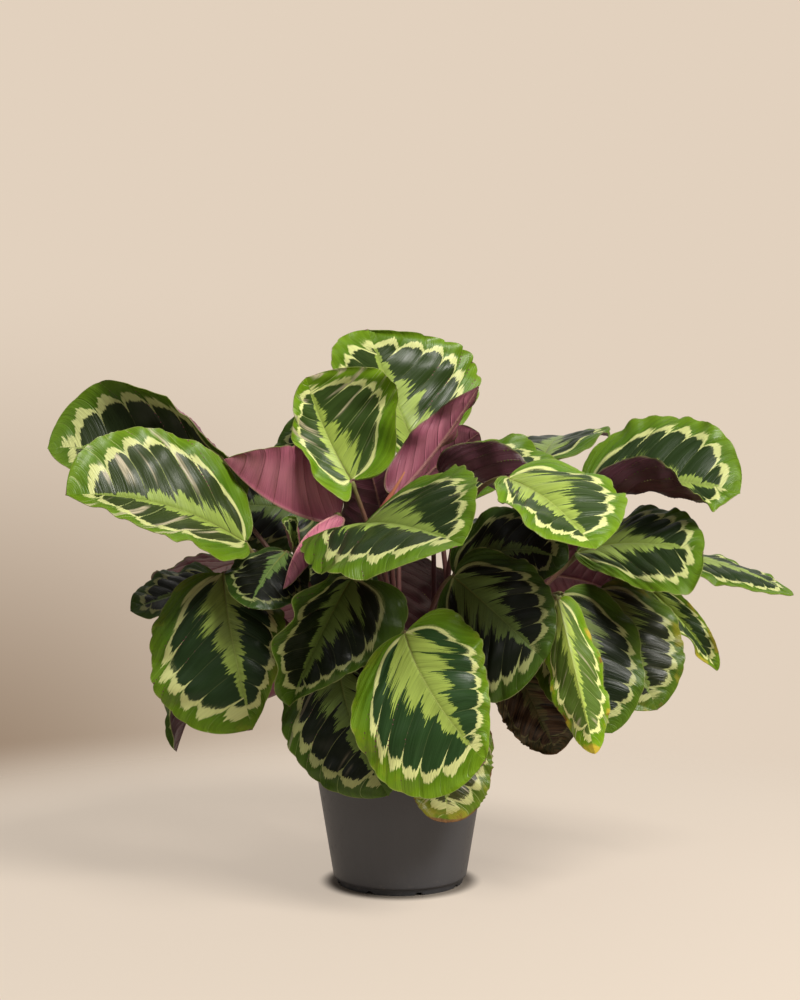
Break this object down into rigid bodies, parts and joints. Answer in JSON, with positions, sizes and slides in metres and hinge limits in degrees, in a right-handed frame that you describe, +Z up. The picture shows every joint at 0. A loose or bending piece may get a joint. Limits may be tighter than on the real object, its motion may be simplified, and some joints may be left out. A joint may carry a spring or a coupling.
{
  "type": "potted calathea",
  "caption": "Bushy medallion calathea with broad round feathered leaves on slender stalks, growing in a round nursery pot of potting soil.",
  "frame": {"origin": "centre of the pot's underside, on the surface that the pot stands on", "axes": "+Z up, +X to the right and -Y towards the viewer of the picture"},
  "size_m": [0.7822, 0.4922, 0.5926],
  "materials": {
    "pot": "satin moulded dark grey polypropylene",
    "soil": "damp crumbly peat and bark",
    "stalk": "smooth waxy, green to wine red",
    "leaf": "satin waxy, feathered green above, wine red beneath"
  },
  "bodies": {
    "root": {"pot": "pot", "soil": "soil", "shoot_back_left": "stalk", "shoot_back_right": "stalk", "shoot_centre": "stalk", "shoot_front": "stalk", "shoot_left": "stalk", "shoot_right": "stalk", "leaf_back_crown": "leaf", "leaf_back_dark_centre": "leaf", "leaf_back_dark_left": "leaf", "leaf_back_high_left": "leaf", "leaf_back_left_low": "leaf", "leaf_back_left_side": "leaf", "leaf_back_low": "leaf", "leaf_back_middle": "leaf", "leaf_back_right": "leaf", "leaf_back_right_high": "leaf", "leaf_back_right_low": "leaf", "leaf_back_right_side": "leaf", "leaf_back_top": "leaf", "leaf_centre_cup": "leaf", "leaf_centre_dark": "leaf", "leaf_centre_front": "leaf", "leaf_centre_right": "leaf", "leaf_far_right": "leaf", "leaf_front_centre": "leaf", "leaf_left_back": "leaf", "leaf_left_big": "leaf", "leaf_left_centre": "leaf", "leaf_left_front": "leaf", "leaf_left_low_tip": "leaf", "leaf_left_new": "leaf", "leaf_left_pink": "leaf", "leaf_left_pink_low": "leaf", "leaf_left_rear": "leaf", "leaf_left_small": "leaf", "leaf_low_left_dark": "leaf", "leaf_low_right_narrow": "leaf", "leaf_mid_purple": "leaf", "leaf_mid_right_dark": "leaf", "leaf_new_spear": "leaf", "leaf_pot_right": "leaf", "leaf_right_arch": "leaf", "leaf_right_front": "leaf", "leaf_right_low_inner": "leaf", "leaf_right_low_narrow": "leaf", "leaf_right_low_outer": "leaf", "leaf_right_mid": "leaf", "leaf_right_top": "leaf", "leaf_right_under": "leaf", "leaf_side_left": "leaf", "leaf_side_right": "leaf", "leaf_top_back": "leaf", "leaf_top_front": "leaf", "leaf_top_pink": "leaf", "leaf_under_right": "leaf"}
  },
  "joints": []
}
